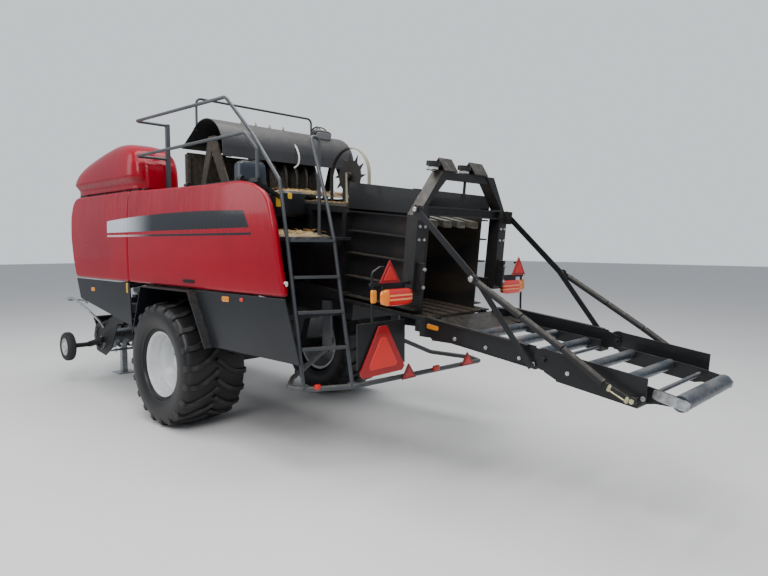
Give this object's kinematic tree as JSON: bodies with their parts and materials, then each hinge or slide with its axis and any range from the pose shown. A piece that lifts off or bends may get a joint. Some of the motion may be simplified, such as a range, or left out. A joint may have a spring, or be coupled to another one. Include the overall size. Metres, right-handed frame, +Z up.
{
  "type": "large square baler",
  "caption": "Trailed large square baler on one axle: sloping press chamber, opening side shields, knotters under a hinged cover, pickup, drawbar and a folding roller chute",
  "frame": {"origin": "middle of the length and width, at ground level", "axes": "X to the machine's left, Y towards its rear, Z up"},
  "size_m": [2.91, 9.04, 3.613],
  "materials": {
    "tyre": "black rubber, dusty",
    "wheel_paint": "silver-white wheel paint",
    "red_paint": "glossy red paint",
    "black_paint": "satin black paint",
    "worn_steel": "steel polished by crop",
    "galvanised": "galvanised steel",
    "bright_steel": "machined steel",
    "rubber_sleeve": "black rubber hose over a chain",
    "gauge_rubber": "black rubber with a pale hub",
    "lamp_red": "red lamp lens",
    "reflector_red": "red reflective sheet",
    "grey_plastic": "grey-blue plastic",
    "twine": "balls of straw-coloured baler twine"
  },
  "bodies": {
    "chassis": {"axle_beam": "black_paint", "bumper": "black_paint", "chamber_floor": "worn_steel", "chamber_left_wall": "black_paint", "chamber_right_wall": "black_paint", "chamber_roof": "black_paint", "chute_front": "black_paint", "drawbar": "black_paint", "feed_duct": "black_paint", "fenders": "black_paint", "front_deck": "black_paint", "front_rollers": "galvanised", "grease_tank": "grey_plastic", "guard_rails": "black_paint", "hitch_eye": "galvanised", "jack_sleeve": "black_paint", "knotter_frame": "black_paint", "knotter_stack": "galvanised", "ladder": "black_paint", "lamp_carriers": "black_paint", "lower_panels": "black_paint", "main_frame": "black_paint", "main_gearbox": "black_paint", "panel_bars": "black_paint", "platform": "black_paint", "rear_lamps": "lamp_red", "shaft_guard": "black_paint", "shield_carriers": "black_paint", "star_guard": "black_paint", "straps": "galvanised", "switch_box": "black_paint", "tension_ring": "black_paint", "top_beams": "black_paint", "twine_balls": "twine", "twine_boxes": "black_paint", "warning_plates": "reflector_red"},
    "left_wheel": {"left_tyre": "tyre", "left_rim": "wheel_paint"},
    "right_wheel": {"right_tyre": "tyre", "right_rim": "wheel_paint"},
    "driveline": {"flywheel": "galvanised", "input_shaft": "bright_steel"},
    "jack": {"jack_leg": "galvanised"},
    "pickup": {"pickup_frame": "black_paint"},
    "reel": {"pickup_reel": "galvanised"},
    "left_gauge": {"left_gauge_wheel": "gauge_rubber"},
    "right_gauge": {"right_gauge_wheel": "gauge_rubber"},
    "left_front_panel": {"left_front_shield": "red_paint"},
    "left_rear_panel": {"left_rear_shield": "red_paint"},
    "right_front_panel": {"right_front_shield": "red_paint"},
    "right_rear_panel": {"right_rear_shield": "red_paint"},
    "left_hood": {"left_front_cover": "red_paint"},
    "right_hood": {"right_front_cover": "red_paint"},
    "knotter_hood": {"knotter_cover": "red_paint"},
    "star": {"star_wheel": "galvanised"},
    "rear_chute": {"chute_rear": "black_paint", "rear_rollers": "galvanised"},
    "left_chain": {"left_chute_chain": "rubber_sleeve"},
    "right_chain": {"right_chute_chain": "rubber_sleeve"}
  },
  "joints": [
    {"name": "left_wheel_turn", "type": "hinge", "parent": "chassis", "child": "left_wheel", "pos_m": [1.095, -0.57, 0.68], "axis": [1, 0, 0], "continuous": true},
    {"name": "right_wheel_turn", "type": "hinge", "parent": "chassis", "child": "right_wheel", "pos_m": [-1.095, -0.57, 0.68], "axis": [1, 0, 0], "continuous": true},
    {"name": "driveline_turn", "type": "hinge", "parent": "chassis", "child": "driveline", "pos_m": [0, -3.315, 1.23], "axis": [0, 1, 0], "continuous": true},
    {"name": "jack_travel", "type": "slide", "parent": "chassis", "child": "jack", "axis": [0, 0, 1], "range_m": [0, 0.3]},
    {"name": "pickup_lift", "type": "hinge", "parent": "chassis", "child": "pickup", "pos_m": [0, -2.57, 0.98], "axis": [1, 0, 0], "range_deg": [0, 17]},
    {"name": "reel_turn", "type": "hinge", "parent": "pickup", "child": "reel", "pos_m": [0, -3.27, 0.64], "axis": [1, 0, 0], "continuous": true},
    {"name": "left_gauge_turn", "type": "hinge", "parent": "pickup", "child": "left_gauge", "pos_m": [1.29, -3.65, 0.505], "axis": [1, 0, 0], "continuous": true},
    {"name": "right_gauge_turn", "type": "hinge", "parent": "pickup", "child": "right_gauge", "pos_m": [-1.29, -3.65, 0.505], "axis": [1, 0, 0], "continuous": true},
    {"name": "left_front_shield_hinge", "type": "hinge", "parent": "chassis", "child": "left_front_panel", "pos_m": [1.228, -2.37, 2.6], "axis": [0, -1, 0], "range_deg": [0, 75]},
    {"name": "left_rear_shield_hinge", "type": "hinge", "parent": "chassis", "child": "left_rear_panel", "pos_m": [1.228, -0.27, 2.6], "axis": [0, -1, 0], "range_deg": [0, 75]},
    {"name": "right_front_shield_hinge", "type": "hinge", "parent": "chassis", "child": "right_front_panel", "pos_m": [-1.228, -2.37, 2.6], "axis": [0, 1, 0], "range_deg": [0, 75]},
    {"name": "right_rear_shield_hinge", "type": "hinge", "parent": "chassis", "child": "right_rear_panel", "pos_m": [-1.228, -0.27, 2.6], "axis": [0, 1, 0], "range_deg": [0, 75]},
    {"name": "left_cover_hinge", "type": "hinge", "parent": "chassis", "child": "left_hood", "pos_m": [0.93, -3.305, 2.64], "axis": [1, 0, 0], "range_deg": [0, 60]},
    {"name": "right_cover_hinge", "type": "hinge", "parent": "chassis", "child": "right_hood", "pos_m": [-0.93, -3.305, 2.64], "axis": [1, 0, 0], "range_deg": [0, 60]},
    {"name": "knotter_cover_hinge", "type": "hinge", "parent": "chassis", "child": "knotter_hood", "pos_m": [0, -0.886, 3.05], "axis": [1, 0, 0], "range_deg": [0, 40]},
    {"name": "star_wheel_turn", "type": "hinge", "parent": "chassis", "child": "star", "pos_m": [0, 0.93, 2.7], "axis": [1, 0, 0], "continuous": true},
    {"name": "chute_fold", "type": "hinge", "parent": "chassis", "child": "rear_chute", "pos_m": [0, 3.598, 1.177], "axis": [1, 0, 0], "range_deg": [0, 95]},
    {"name": "left_chain_swing", "type": "hinge", "parent": "chassis", "child": "left_chain", "pos_m": [0.696, 3.03, 1.725], "axis": [1, 0, 0], "range_deg": [0, 41]},
    {"name": "right_chain_swing", "type": "hinge", "parent": "chassis", "child": "right_chain", "pos_m": [-0.696, 3.03, 1.725], "axis": [1, 0, 0], "range_deg": [0, 41]}
  ],
  "couplings": [
    {"joint": "left_chain_swing", "follows": "chute_fold", "ratio": 0.43},
    {"joint": "right_chain_swing", "follows": "chute_fold", "ratio": 0.43}
  ]
}
